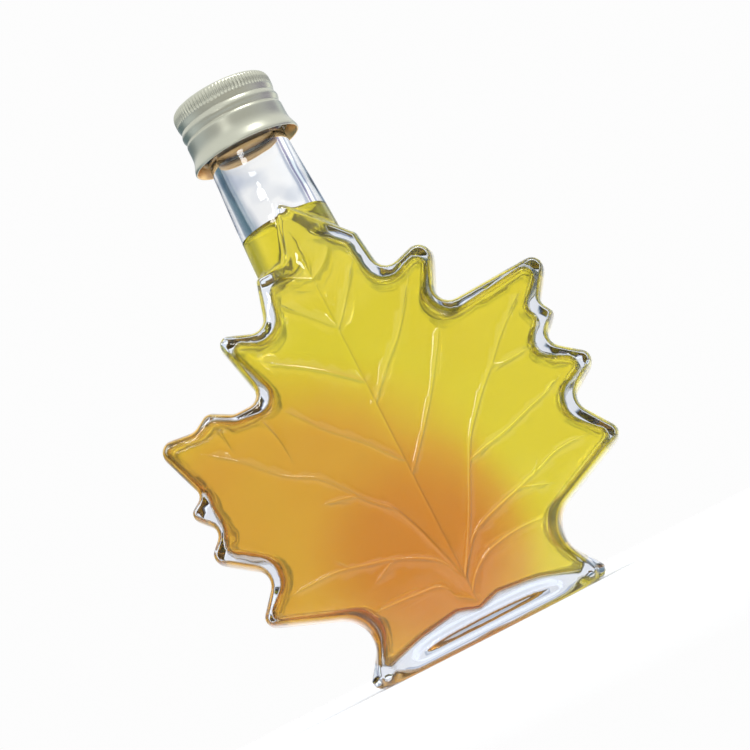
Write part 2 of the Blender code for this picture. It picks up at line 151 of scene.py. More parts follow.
VEINS_LEFT = [
    (0.7, [(0, 81.8), (3.5, 83.8), (6.2, 86)]),
    (0.8, [(0, 70.5), (5.5, 76.5), (9.6, 81)]),
    (1.0, [(0, 57.8), (5, 62.2), (8.9, 65.3), (14.2, 68.9), (18, 72)]),
    (0.9, [(0, 39.7), (2.8, 43), (6.4, 47.4), (11.9, 52.8), (15, 56.7), (18.6, 61.1)]),
    (0.8, [(22.5, 59.8), (21.2, 55), (20.8, 50), (21.4, 47.4)]),
    (0.7, [(31.2, 62), (30.6, 55.2)]),
    (1.1, [(0, 12.5), (3.3, 24), (6.1, 31), (8.3, 33.5), (11.4, 36.8), (16.9, 43.8), (23.9, 48.3),
           (30.6, 55), (37, 60)]),
    (0.9, [(12, 37.5), (16.1, 38.5), (20.5, 39.4)]),
    (1.0, [(0, 12.5), (2.8, 17.7), (6.1, 20.2), (11.3, 22.6), (16.7, 24.1), (21.1, 25.3), (25, 25.7),
           (34, 25.6)]),
    (0.7, [(11.3, 22.6), (14.4, 21), (18.3, 19.2)]),
    (0.7, [(20, 25.1), (23.2, 29.3)]),
    (0.8, [(0, 7.5), (3.2, 9.9), (4.2, 12.4), (6.1, 13.7), (11.1, 14.2), (16.7, 14.6), (20.8, 14.6)]),
]

# Foot, from its shallow recess outwards and up: up, half width, half depth
FOOT_POWER = 3.2
FOOT_SIDES = 192
FOOT_RINGS = [
    (0.9, 21.5, 7.6), (0.0, 23.3, 9.2), (0.0, 25.0, 12.0), (0.5, 26.1, 13.3), (1.3, 26.8, 14.1),
    (2.5, 27.0, 14.4), (3.8, 26.2, 13.7), (5.5, 24.9, 12.6), (7.5, 23.4, 11.8), (11.0, 20.8, 10.9),
]

FILL_UP = 97.0  # the syrup's level
# Turned profiles: radius, up
NECK_SIDES = 144
NECK_PROFILE = [
    (10.4, 79.0), (10.4, 89.0), (10.1, 96.0), (9.7, 103.0), (9.25, 110.0), (9.0, 115.6),
    (9.9, 116.4), (10.4, 116.9), (10.4, 117.8), (9.4, 118.5), (9.4, 126.6), (8.9, 127.1),
]
NECK_STEP = 0.9
BORE_SIDES = 96
BORE_PROFILE = [(7.2, 79.5), (7.2, 88.0), (6.95, FILL_UP), (6.6, 112.0), (6.6, 129.0)]
BORE_STEP = 1.2
SYRUP_REACH = 0.25  # how far the syrup reaches into the glass
# Syrup drawn up at the bore: from its rim inwards, above its level
MENISCUS = [(0.0, 0.8), (0.35, 0.75), (0.6, 0.4), (1.1, 0.15), (2.2, 0.0)]

CAP_OUTSIDE = [
    (11.75, 115.2), (11.9, 115.0), (12.1, 115.0), (12.2, 115.2), (12.1, 115.8), (11.75, 116.7),
    (11.42, 117.7), (11.28, 119.0), (11.25, 121.3), (11.05, 121.7), (11.0, 122.0), (11.1, 122.4),
    (11.32, 122.9), (11.32, 123.6), (11.1, 124.2), (11.0, 124.5), (11.15, 125.0), (11.32, 125.8),
    (11.34, 127.4), (11.25, 128.0), (11.0, 128.6), (10.5, 129.1), (9.7, 129.35), (8.4, 129.4),
]
CAP_INSIDE = [
    (9.6, 127.4), (10.4, 127.2), (10.7, 126.4), (10.7, 118.6), (10.95, 117.6), (11.4, 116.2),
    (11.75, 115.2),
]
CAP_OUTSIDE_STEP = 0.3
CAP_INSIDE_STEP = 1.5
# Flutes round the band at the top of the cap
FLUTES = 84
FLUTE_STEPS = 6
FLUTE_LOW = 125.9
FLUTE_HIGH = 128.7
FLUTE_FADE_LOW = 0.4  # heights over which the flutes start and end
FLUTE_FADE_HIGH = 0.5
FLUTE_RADIUS = 10.6
FLUTE_DEPTH = 0.28

# Materials
GLASS_COLOR = (0.99, 0.99, 0.99)
GLASS_DEPTH_COLOR = (0.42, 0.52, 0.72)
GLASS_DEPTH_DENSITY = 18.0
GLASS_IOR = 1.5
GLASS_WAVES = 120
GLASS_WAVE_DETAIL = 1.5
GLASS_WAVE_STRENGTH = 0.12
CAP_OUTER_COLOR = (0.53, 0.53, 0.43)
CAP_INNER_COLOR = (0.95, 0.62, 0.27)
CAP_ROUGHNESS = 0.32
CAP_METALLIC = 0.85
SYRUP_ROUGHNESS = 0.1
SYRUP_IOR = 1.38
SYRUP_TRANSMISSION = 0.85
# Where the syrup looks deeper: centre, and distances in metres from full to nothing, and by how much
SYRUP_DEEPER = [
    ((-0.0290, 0.0, 0.0235), 0.033, 0.054, 0.5),
    ((-0.0045, 0.0, 0.0215), 0.010, 0.027, 0.5),
]
SYRUP_CLOUDS = 42
SYRUP_CLOUD_DETAIL = 2.0
SYRUP_CLOUD_DEPTH = 0.36
SYRUP_STOPS = [
    (0.00, (0.99, 0.83, 0.03)),
    (0.10, (0.99, 0.78, 0.03)),
    (0.50, (0.93, 0.49, 0.028)),
    (1.00, (0.84, 0.30, 0.015)),
]

# Floor in metres, fading from its middle at 0 to its edge at 1
FLOOR_RADIUS = 0.35
FLOOR_SIDES = 96
FLOOR_COLOR = (0.88, 0.90, 0.93)
FLOOR_GLOW = (0.94, 0.97, 1.0)
FLOOR_GLOW_STRENGTH = 0.30
FLOOR_ROUGHNESS = 0.9
FLOOR_FADE = [(0.06, (1, 1, 1)), (0.95, (0, 0, 0))]
# World light
BACKDROP_COLOR = (0.98, 0.98, 0.98)
STUDIO_STRENGTH = 2.25
# Round the horizon: 0 and 1 are in front of the leaf, 0.25 left, 0.5 behind, 0.75 right
STUDIO_STOPS = [
    (0.00, (0.31, 0.30, 0.29)),
    (0.15, (0.27, 0.27, 0.27)),
    (0.24, (0.42, 0.46, 0.50)),
    (0.30, (0.36, 0.40, 0.44)),
    (0.325, (0.04, 0.08, 0.10)),
    (0.40, (0.06, 0.11, 0.14)),
    (0.44, (0.16, 0.20, 0.24)),
    (0.472, (0.54, 0.54, 0.54)),
    (0.53, (0.60, 0.60, 0.60)),
    (0.552, (0.66, 0.66, 0.66)),
    (0.568, (0.34, 0.37, 0.43)),
    (0.592, (0.32, 0.34, 0.40)),
    (0.605, (0.86, 0.90, 0.84)),
    (0.635, (0.86, 0.90, 0.82)),
    (0.655, (0.26, 0.24, 0.33)),
    (0.72, (0.22, 0.20, 0.29)),
    (0.77, (0.36, 0.36, 0.40)),
    (0.88, (0.33, 0.32, 0.30)),
]
# From straight down at 0 through the horizon at 0.5 to straight up at 1
HEIGHT_STOPS = [
    (0.28, (0.38, 0.43, 0.51)),
    (0.36, (0.98, 0.98, 0.97)),
    (0.43, (0.98, 0.98, 0.97)),
    (0.465, (0.77, 0.77, 0.78)),
    (0.594, (0.82, 0.82, 0.805)),
    (0.612, (0.46, 0.50, 0.57)),
    (0.70, (0.48, 0.52, 0.58)),
]
# Where the light from above takes over, on the same scale
ABOVE_STOPS = [(0.0, (0, 0, 0)), (0.64, (0, 0, 0)), (0.70, (1, 1, 1))]
ABOVE_COLOR = (0.48, 0.49, 0.50)
# Softboxes in metres, aimed at the middle of the bottle: name, place, size, power
SOFTBOXES = [
    ("window_light", (-0.18, -0.57, 0.306), (0.20, 0.015), 0.13),
    ("top_light", (0.25, -0.15, 0.70), (0.20, 0.20), 1.5),
]
SOFTBOX_AIM = (0, 0, 0.065)

# Camera: its place, then angles in degrees
CAMERA_PLACE = (0.0, -440.0, 7.0)
CAMERA_YAW = 0.33
CAMERA_PITCH = 6.82
CAMERA_ROLL = -27.09
CAMERA_LENS = 100.6


def unit(x, z):
    """Scale a direction to length 1."""
    length = hypot(x, z)
    return x / length, z / length


def whole_leaf(right, left):
    """Clockwise outline from its two halves, each from the top down."""
    return right + [(-x, *rest) for x, *rest in reversed(left)]


def stepped_corner(corners, i, distance):
    """Corner of a clockwise outline stepped in by a distance, and whether it bulges."""
    x, z = corners[i][:2]
    before = corners[i - 1]
    after = corners[(i + 1) % len(corners)]
    ax, az = unit(x - before[0], z - before[1])
    bx, bz = unit(after[0] - x, after[1] - z)
    share = distance / (1 + az * bz + ax * bx)
    return x + (az + bz) * share, z - (ax + bx) * share, ax * bz - az * bx < 0


def inset(corners, distance, least_radius=0.6):
    """Step a clockwise outline in by a distance, keeping its corners."""
    result = []
    for i, corner in enumerate(corners):
        x, z, bulges = stepped_corner(corners, i, distance)
        radius = max(corner[2] - distance, least_radius) if bulges else corner[2] + distance
        result.append((x, z, radius))
    return result


def corner_arcs(corners):
    """Centre, start and sweep of the arc that rounds each corner."""
    arcs = []
    for i, (x, z, radius) in enumerate(corners):
        spot = Vector((x, z))
        before = Vector(corners[i - 1][:2]) - spot
        after = Vector(corners[(i + 1) % len(corners)][:2]) - spot
        half_angle = before.angle(after) / 2
        longest = CORNER_SHARE * min(before.length, after.length)
        run = min(radius * cos(half_angle) / sin(half_angle), longest)
        start = spot + before.normalized() * run
        end = spot + after.normalized() * run
        centre = spot + ((start + end) / 2 - spot) / cos(half_angle) ** 2
        arcs.append((centre, start - centre, (start - centre).angle_signed(end - centre)))
    return arcs


def arc_point(arc, share):
    """Point part of the way round a corner."""
    centre, start, sweep = arc
    c, s = cos(sweep * share), sin(-sweep * share)
    return Vector((centre.x + start.x * c - start.y * s, centre.y + start.x * s + start.y * c))


def ring_counts(corners, spacing):
    """Steps round each corner and along each straight run, for an even spacing."""
    arcs = corner_arcs(corners)
    counts = []
    for i, arc in enumerate(arcs):
        run = (arc_point(arcs[(i + 1) % len(arcs)], 0) - arc_point(arc, 1)).length
        turn = abs(arc[2]) * arc[1].length
        counts.append((max(CORNER_STEPS, round(turn / spacing)), max(1, round(run / spacing))))
    return counts


def ring(corners, counts):
    """Points of an outline: arcs at its corners and even steps between them."""
    arcs = corner_arcs(corners)
    points = []
    for i, (turn_steps, run_steps) in enumerate(counts):
        points += [arc_point(arcs[i], step / turn_steps) for step in range(turn_steps + 1)]
        start = arc_point(arcs[i], 1)
        end = arc_point(arcs[(i + 1) % len(arcs)], 0)
        points += [start.lerp(end, step / run_steps) for step in range(1, run_steps)]
    return np.array(points)


def shoulder_wall(points):
    """How much thicker the glass of the faces gets towards the neck."""
    rise = np.clip((points[:, 1] - SHOULDER_UP) / SHOULDER_REACH, 0, 1)
    return SHOULDER_WALL * rise ** 2 * (3 - 2 * rise)


def half_depth(points):
    """Half the flask's depth at points of its face, without the veins."""
    x, z = points[:, 0], points[:, 1]
    lower = BELLY_DEPTH - (BELLY_DEPTH - BASE_DEPTH) * ((BELLY_UP - z) / BELLY_UP) ** 2
    rise = np.clip((z - BELLY_UP) / (TIP_UP - BELLY_UP), 0, None)
    upper = BELLY_DEPTH - (BELLY_DEPTH - TIP_DEPTH) * rise ** TIP_CURVE
    return np.where(z < BELLY_UP, lower, upper) - SIDE_DROP * (x / LEAF_HALF_WIDTH) ** 2


def segment_distance(points, starts, ends):
    """Distance of every point to every segment, and how far along it that is."""
    run = ends - starts
    from_start = points[:, None, :] - starts[None, :, :]
    along = np.clip((from_start * run).sum(2) / (run ** 2).sum(1), 0, 1)
    away = np.linalg.norm(from_start - along[:, :, None] * run, axis=2)
    return away, along


def edge_distance(outline, points):
    """Distance of each point to an outline, below zero outside it."""
    ends = np.roll(outline, -1, axis=0)
    away, _ = segment_distance(points, outline, ends)
    x, z = points[:, None, 0], points[:, None, 1]
    rise = np.where(ends[:, 1] == outline[:, 1], 1e-9, ends[:, 1] - outline[:, 1])
    crossing = outline[:, 0] + (z - outline[:, 1]) * (ends[:, 0] - outline[:, 0]) / rise
    hits = ((outline[:, 1] > z) != (ends[:, 1] > z)) & (x < crossing)
    return np.where(hits.sum(1) % 2 == 1, 1, -1) * away.min(1)


def smooth_path(path, step):
    """Even points on a smooth curve through a path's points."""
    controls = [Vector(point) for point in path]
    controls = [controls[0] * 2 - controls[1]] + controls + [controls[-1] * 2 - controls[-2]]
    points = []
    for a, b, c, d in zip(controls, controls[1:], controls[2:], controls[3:]):
        pieces = max(2, round((c - b).length / step))
        for piece in range(pieces):
            t = piece / pieces
            points.append(0.5 * ((2 * b) + (c - a) * t + (2 * a - 5 * b + 4 * c - d) * t ** 2
                                 + (3 * b - a - 3 * c + d) * t ** 3))
    return points + [controls[-2]]


def vein_stations(path, thickness, step):
    """Stations along a vein: across, up and thickness, thinning to its tip."""
    points = smooth_path(path, step)
    last = len(points) - 1
    shares = [i / last for i in range(len(points))]
    thins = [thickness * (1 - VEIN_THINNING * share ** VEIN_THINNING_CURVE) for share in shares]
    return np.array([(spot.x, spot.y, thin) for spot, thin in zip(points, thins)])


def all_veins(step):
    """Stations of every vein, over both halves of the face."""
    veins = [vein_stations(path, thickness, step) for thickness, path in [MIDRIB] + VEINS_RIGHT]
    for thickness, path in VEINS_LEFT:
        veins.append(vein_stations([(-x, z) for x, z in path], thickness, step))
    return veins


def vein_relief(veins, points):
    """Height of the veins above the face at each point."""
    relief = np.zeros(len(points))
    for stations in veins:
        away, along = segment_distance(points, stations[:-1, :2], stations[1:, :2])
        nearest = away.argmin(1)
        rows = np.arange(len(points))
        here, ahead = stations[nearest, 2], stations[nearest + 1, 2]
        thick = here + (ahead - here) * along[rows, nearest]
        at_tip = np.linalg.norm(points - stations[-1, :2], axis=1)
        thick = thick * np.clip(at_tip / VEIN_TIP, VEIN_TIP_LEAST, 1)
        share = np.clip(away[rows, nearest] / (VEIN_HALF_WIDTH * thick), 0, 1)
        relief = np.maximum(relief, VEIN_HEIGHT * thick * (1 - share) ** VEIN_SHARPNESS)
    return relief


def vein_lines(veins, outline):
    """Lines along each vein, from foot over crest to foot, cut short of the face's edge."""
    lines = []
    for stations in veins:
        spots = stations[:, :2]
        ahead = np.gradient(spots, axis=0)
        ahead /= np.linalg.norm(ahead, axis=1)[:, None]
        aside = np.stack([-ahead[:, 1], ahead[:, 0]], 1)
        room = edge_distance(outline, spots) > VEIN_MARGIN
        count = len(spots) if room.all() else int(np.argmin(room))
        for share in (-1.0, -0.5, 0.0, 0.5, 1.0):
            reach = VEIN_HALF_WIDTH * stations[:, 2:3] * share
            lines.append((spots + aside * reach)[:count])
    return [line for line in lines if len(line) > 1]


def face_triangles(outline, lines, spacing):
    """Triangles of a leaf face from its outline, the lines on it and a loose grid."""
    points = [outline]
    edges = []
    total = len(outline)
    for line in lines:
        edges += [(total + i, total + i + 1) for i in range(len(line) - 1)]
        points.append(line)
        total += len(line)
    drawn = np.concatenate(points)
    low, high = outline.min(0), outline.max(0)
    grid = []
    rows = int((high[1] - low[1]) / (spacing * ROW_RISE)) + 1
    columns = int((high[0] - low[0]) / spacing) + 2
    for row in range(rows):
        for column in range(columns):
            across = low[0] + (column + 0.5 * (row % 2)) * spacing
            grid.append((across, low[1] + row * spacing * ROW_RISE))
    grid = np.array(grid)
    grid = grid[edge_distance(outline, grid) > OUTLINE_ROOM * spacing]
    tree = KDTree(len(drawn))
    for i, (x, z) in enumerate(drawn):
        tree.insert((x, z, 0), i)
    tree.balance()
    grid = [spot for spot in grid if tree.find((*spot, 0))[2] > LINE_ROOM * spacing]
    everything = [Vector(spot) for spot in drawn] + [Vector(spot) for spot in grid]
    border = list(range(len(outline)))
    verts, _, faces, origins, _, _ = delaunay_2d_cdt(everything, edges, [border], 1, MERGE_DISTANCE)
    return np.array(verts), faces, origins


def make_mesh(name, points, faces):
    """Object from points in millimetres and faces, which it turns outwards."""
    mesh = bpy.data.meshes.new(name)
    mesh.from_pydata(np.asarray(points) * MM, [], faces)
    bm = bmesh.new()
    bm.from_mesh(mesh)
    bmesh.ops.recalc_face_normals(bm, faces=bm.faces)
    bm.to_mesh(mesh)
    bm.free()
    made = bpy.data.objects.new(name, mesh)
    bpy.context.scene.collection.objects.link(made)
    return made


def edge_curve():
    """Shares of the inset and of the half depth, from the parting line to the face."""
    turns = [0.5 * pi * level / EDGE_LEVELS for level in range(1, EDGE_LEVELS)]
    power = 2 / EDGE_POWER
    return [(0.0, 0.0)] + [(1 - cos(turn) ** power, sin(turn) ** power) for turn in turns] + [(1.0, 1.0)]


def leaf_solid(name, corners, edge_inset, face_inset, face_depth, spacing, face_spacing, veins=()):
    """Closed leaf: rings step in from the parting line to a front and a back face."""
    counts = ring_counts(inset(corners, edge_inset), spacing)
    curve = edge_curve()
    outlines = [ring(inset(corners, edge_inset + share * face_inset), counts) for share, _ in curve]
    face_outline = outlines[-1]
    count = len(face_outline)
    verts, faces, origins = face_triangles(face_outline, vein_lines(veins, face_outline), face_spacing)
    depth = face_depth(verts)
    relief = vein_relief(veins, verts)
    on_edge = [min(sources) if sources and min(sources) < count else None for sources in origins]
    points = [(x, 0.0, z) for x, z in outlines[0]]
    made_faces = []
    for side, raised in ((-1, 1.0), (1, VEIN_BACK)):
        ring_start = 0
        for (_, rise), outline in zip(curve[1:], outlines[1:]):
            inner_start = len(points)
            depths = side * rise * face_depth(outline)
            points += [(x, y, z) for (x, z), y in zip(outline, depths)]
            for i in range(count):
                j = (i + 1) % count
                made_faces.append((ring_start + i, ring_start + j, inner_start + j, inner_start + i))
            ring_start = inner_start
        index = []
        for (x, z), y, source in zip(verts, side * (depth + raised * relief), on_edge):
            if source is None:
                index.append(len(points))
                points.append((x, y, z))
            else:
                index.append(ring_start + source)
        made_faces += [tuple(index[i] for i in face) for face in faces]
    return make_mesh(name, points, made_faces)


def stack_solid(name, rings):
    """Closed solid through rings of equal count, its first and last ring filled."""
    count = len(rings[0])
    faces = [tuple(range(count)), tuple(range((len(rings) - 1) * count, len(rings) * count))]
    for level in range(len(rings) - 1):
        for i in range(count):
            j = (i + 1) % count
            low, high = level * count, (level + 1) * count
            faces.append((low + i, low + j, high + j, high + i))
    return make_mesh(name, np.concatenate(rings), faces)


def circle(radius, up, sides):
    """One level ring of a turned piece."""
    angles = np.arange(sides) * tau / sides
    return np.stack([radius * np.cos(angles), radius * np.sin(angles), np.full(sides, up)], 1)


def turned(name, profile, sides):
    """Closed solid turned from a profile of radius and height."""
    return stack_solid(name, [circle(radius, up, sides) for radius, up in profile])


def oval(half_width, depth, up):
    """One level ring of the foot, between an ellipse and a rectangle."""
    angles = np.arange(FOOT_SIDES) * tau / FOOT_SIDES
    c, s = np.cos(angles), np.sin(angles)
    x = half_width * np.abs(c) ** (2 / FOOT_POWER) * np.sign(c)
    y = depth * np.abs(s) ** (2 / FOOT_POWER) * np.sign(s)
    return np.stack([x, y, np.full(FOOT_SIDES, up)], 1)


def join(target, tool, operation):
    """Join a solid to a piece or cut it away, and drop the solid."""
    modifier = target.modifiers.new(operation, "BOOLEAN")
    modifier.operation = operation
    modifier.solver = "MANIFOLD"
    modifier.object = tool
    apply_modifiers(target)
    bpy.data.objects.remove(tool, do_unlink=True)


def apply_modifiers(piece):
    """Keep a piece's evaluated mesh as its own."""
    graph = bpy.context.evaluated_depsgraph_get()
    mesh = bpy.data.meshes.new_from_object(piece.evaluated_get(graph))
    old = piece.data
    piece.modifiers.clear()
    piece.data = mesh
    bpy.data.meshes.remove(old)


def corner_tree(*pieces):
    """Search tree over the vertices of some pieces."""
    spots = [vert.co.copy() for piece in pieces for vert in piece.data.vertices]
    tree = KDTree(len(spots))
    for i, spot in enumerate(spots):
        tree.insert(spot, i)
    tree.balance()
    return tree


def soften_joins(piece, before, reach, rounds):
    """Round the creases that joining made, which are where the mesh has new vertices."""
    new = [vert.co.copy() for vert in piece.data.vertices if before.find(vert.co)[2] > 1e-6]
    tree = KDTree(len(new))
    for i, spot in enumerate(new):
        tree.insert(spot, i)
    tree.balance()
    group = piece.vertex_groups.new(name="join")
    for vert in piece.data.vertices:
        weight = 1 - tree.find(vert.co)[2] / (reach * MM)
        if weight > 0:
            group.add([vert.index], weight, "REPLACE")
    smooth = piece.modifiers.new("soften", "SMOOTH")
    smooth.factor = 0.5
    smooth.iterations = rounds
    smooth.vertex_group = "join"
    apply_modifiers(piece)
    piece.vertex_groups.clear()


def ripple(piece):
    """Move a surface in and out a little, as glass sets unevenly."""
    mesh = piece.data
    normals = [vert.normal.copy() for vert in mesh.vertices]
    start = Vector((RIPPLE_SEED, RIPPLE_SEED, RIPPLE_SEED))
    for vert, normal in zip(mesh.vertices, normals):
        wave = noise.noise(vert.co / (RIPPLE_LENGTH * MM) + start)
        vert.co += normal * wave * RIPPLE_HEIGHT * MM


def hollow_corners():
    """Outline of the hollow, with a thinner wall at the lobes than between them."""
    right = [(x, z, radius, wall) for x, z, _, radius, wall in LEAF_RIGHT]
    left = [(x, z, radius, wall) for x, z, _, radius, wall in LEAF_LEFT]
    floor = [(*corner, 0.0) for corner in HOLLOW_FLOOR]
    corners = whole_leaf(right + floor, left + floor[:-1])
    stepped = [stepped_corner(corners, i, corner[3]) for i, corner in enumerate(corners)]
    return [(x, z, corner[2]) for (x, z, _), corner in zip(stepped, corners)]


def hollow_solid(name, extra, bore_profile):
    """Leaf-shaped hollow, stepped out into the glass by an extra distance, with its bore."""
    def face_depth(points):
        return half_depth(points) - HOLLOW_FACE_WALL - shoulder_wall(points) + extra

    hollow = leaf_solid(name, hollow_corners(), -extra, HOLLOW_FACE_INSET, face_depth,
                        HOLLOW_SPACING, HOLLOW_FACE_SPACING)
    bore = turned("bore_shape", bore_profile, BORE_SIDES)
    before = corner_tree(hollow, bore)
    join(hollow, bore, "UNION")
    soften_joins(hollow, before, *HOLLOW_SOFTNESS)
    ripple(hollow)
    return hollow


def dense_profile(profile, step):
    """Profile with more points on its straight stretches."""
    points = []
    for (r1, z1), (r2, z2) in zip(profile, profile[1:]):
        pieces = max(1, round(hypot(r2 - r1, z2 - z1) / step))
        points += [(r1 + (r2 - r1) * i / pieces, z1 + (z2 - z1) * i / pieces) for i in range(pieces)]
    return points + [profile[-1]]


def glass_bottle():
    """Glass flask: leaf, foot and neck in one, hollow and open at its mouth."""
    halves = [[corner[:3] for corner in half] + [FOOT_CORNER] for half in (LEAF_RIGHT, LEAF_LEFT)]
    corners = whole_leaf(*halves)
    glass = leaf_solid("glass_bottle", corners, 0.0, LEAF_FACE_INSET, half_depth,
                       EDGE_SPACING, FACE_SPACING, all_veins(VEIN_STEP))
    foot = stack_solid("foot_shape", [oval(wide, deep, up) for up, wide, deep in FOOT_RINGS])
    neck = turned("neck_shape", dense_profile(NECK_PROFILE, NECK_STEP), NECK_SIDES)
    before = corner_tree(glass, foot, neck)
    join(glass, foot, "UNION")
    join(glass, neck, "UNION")
    soften_joins(glass, before, *GLASS_SOFTNESS)
    hollow = hollow_solid("hollow_shape", 0.0, dense_profile(BORE_PROFILE, BORE_STEP))
    join(glass, hollow, "DIFFERENCE")
    return glass


def syrup_filling():
    """Syrup up to its level, reaching just into the glass."""
    column = [(radius + SYRUP_REACH, up) for radius, up in BORE_PROFILE if up <= FILL_UP]
    rim = column[-1][0]
    top = [(rim - inwards, FILL_UP + above) for inwards, above in MENISCUS]
    return hollow_solid("syrup_filling", SYRUP_REACH, dense_profile(column, BORE_STEP) + top)


def screw_cap():
    """Screw cap: thin shell with a flared rim, a rolled bead and a fluted band."""
    count = FLUTES * FLUTE_STEPS
    flute = 0.5 + 0.5 * np.cos(np.arange(count) * tau / FLUTE_STEPS)
    outside = [(spot.x, spot.y) for spot in smooth_path(CAP_OUTSIDE, CAP_OUTSIDE_STEP)]
    rings = []
    for radius, up in outside + dense_profile(CAP_INSIDE, CAP_INSIDE_STEP)[:-1]:
        above_low = min(max((up - FLUTE_LOW) / FLUTE_FADE_LOW, 0), 1)
        band = above_low * min(max((FLUTE_HIGH - up) / FLUTE_FADE_HIGH, 0), 1)
        level = circle(radius, up, count)
        if radius > FLUTE_RADIUS:
            level[:, :2] *= (1 - FLUTE_DEPTH * band * flute / radius)[:, None]
        rings.append(level)
    points = np.concatenate(rings)
    top = len(outside) - 1  # here the outside ends and the inside starts
    faces = []
    for level in range(len(rings)):
        following = (level + 1) % len(rings)
        low, high = level * count, following * count
        if level == top:
            faces.append(tuple(range(low, low + count)))
            faces.append(tuple(range(high, high + count)))
            continue
        for i in range(count):
            j = (i + 1) % count
            faces.append((low + i, low + j, high + j, high + i))
    return make_mesh("screw_cap", points, faces)


def principled(name):
    """New material, its node tree and its main shader."""
    made = bpy.data.materials.new(name)
    made.use_nodes = True
    return made, made.node_tree, made.node_tree.nodes["Principled BSDF"]


def ramp(tree, value, stops):
    """Colour ramp driven by a value, from (position, colour) stops."""
    node = tree.nodes.new("ShaderNodeValToRGB")
    elements = node.color_ramp.elements
    while len(elements) < len(stops):
        elements.new(0.5)
    for element, (position, color) in zip(elements, stops):
        element.position = position
        element.color = (*color, 1)
    tree.links.new(value, node.inputs["Fac"])
    return node.outputs["Color"]


def math_node(tree, operation, *values):
    """Math node on sockets or numbers."""
    node = tree.nodes.new("ShaderNodeMath")
    node.operation = operation
    for socket, value in zip(node.inputs, values):
        if isinstance(value, (int, float)):
            socket.default_value = value
        else:
            tree.links.new(value, socket)
    return node.outputs["Value"]


def noise_node(tree, vector, scale, detail):
    """Noise over a position in metres."""
    node = tree.nodes.new("ShaderNodeTexNoise")
    node.inputs["Scale"].default_value = scale
    node.inputs["Detail"].default_value = detail
    tree.links.new(vector, node.inputs["Vector"])
    return node.outputs["Fac"]


def bump(tree, height, strength, distance):
    """Bump from a height."""
    node = tree.nodes.new("ShaderNodeBump")
    node.inputs["Strength"].default_value = strength
    node.inputs["Distance"].default_value = distance
    tree.links.new(height, node.inputs["Height"])
    return node.outputs["Normal"]


def clear_glass():
    """Clear pressed glass, with the faint unevenness of a moulded surface."""
    made, tree, shader = principled("clear_glass")
    place = tree.nodes.new("ShaderNodeTexCoord").outputs["Object"]
    waves = noise_node(tree, place, GLASS_WAVES, GLASS_WAVE_DETAIL)
    tree.links.new(bump(tree, waves, GLASS_WAVE_STRENGTH, MM), shader.inputs["Normal"])
    shader.inputs["Base Color"].default_value = (*GLASS_COLOR, 1)
    shader.inputs["Roughness"].default_value = 0.0
    shader.inputs["IOR"].default_value = GLASS_IOR
    shader.inputs["Transmission Weight"].default_value = 1.0
    depth_tint = tree.nodes.new("ShaderNodeVolumeAbsorption")
    depth_tint.inputs["Color"].default_value = (*GLASS_DEPTH_COLOR, 1)
    depth_tint.inputs["Density"].default_value = GLASS_DEPTH_DENSITY
    tree.links.new(depth_tint.outputs["Volume"], tree.nodes["Material Output"].inputs["Volume"])
    return made


def golden_syrup():
    """Golden syrup, deepening to amber low in the middle and on the left, as in the photo."""
    made, tree, shader = principled("golden_syrup")
    place = tree.nodes.new("ShaderNodeTexCoord").outputs["Object"]
    flat = tree.nodes.new("ShaderNodeVectorMath")
    flat.operation = "MULTIPLY"
    tree.links.new(place, flat.inputs[0])
    flat.inputs[1].default_value = (1, 0, 1)
    clouds = noise_node(tree, place, SYRUP_CLOUDS, SYRUP_CLOUD_DETAIL)
    depth = math_node(tree, "MULTIPLY_ADD", clouds, SYRUP_CLOUD_DEPTH, -SYRUP_CLOUD_DEPTH / 2)
    for centre, near, far, share in SYRUP_DEEPER:
        away = tree.nodes.new("ShaderNodeVectorMath")
        away.operation = "DISTANCE"
        tree.links.new(flat.outputs["Vector"], away.inputs[0])
        away.inputs[1].default_value = centre
        within = tree.nodes.new("ShaderNodeMapRange")
        within.interpolation_type = "SMOOTHSTEP"
        settings = {"From Min": near, "From Max": far, "To Min": share, "To Max": 0.0}
        for socket, value in settings.items():
            within.inputs[socket].default_value = value
        tree.links.new(away.outputs["Value"], within.inputs["Value"])
        depth = math_node(tree, "ADD", depth, within.outputs["Result"])
    tree.links.new(ramp(tree, depth, SYRUP_STOPS), shader.inputs["Base Color"])
    shader.inputs["Roughness"].default_value = SYRUP_ROUGHNESS
    shader.inputs["IOR"].default_value = SYRUP_IOR
    shader.inputs["Transmission Weight"].default_value = SYRUP_TRANSMISSION
    return made


def pale_aluminium():
    """Satin champagne lacquer over aluminium, gold on the inside."""
    made, tree, shader = principled("pale_aluminium")
    surface = tree.nodes.new("ShaderNodeNewGeometry")
    outwards = tree.nodes.new("ShaderNodeVectorMath")
    outwards.operation = "MULTIPLY"
    tree.links.new(surface.outputs["Position"], outwards.inputs[0])
    outwards.inputs[1].default_value = (1, 1, 0)
    facing = tree.nodes.new("ShaderNodeVectorMath")
    facing.operation = "DOT_PRODUCT"
    tree.links.new(outwards.outputs["Vector"], facing.inputs[0])
    tree.links.new(surface.outputs["True Normal"], facing.inputs[1])
    inside = math_node(tree, "LESS_THAN", facing.outputs["Value"], -0.001)
    tree.links.new(ramp(tree, inside, [(0.0, CAP_OUTER_COLOR), (1.0, CAP_INNER_COLOR)]),
                   shader.inputs["Base Color"])
    shader.inputs["Roughness"].default_value = CAP_ROUGHNESS
    shader.inputs["Metallic"].default_value = CAP_METALLIC
    return made


def dress(piece, material, node):
    """Give a piece its material and its place in the frame."""
    piece.data.materials.clear()
    piece.data.materials.append(material)
    piece.data.shade_smooth()
    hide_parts(node)
    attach(piece, "root")


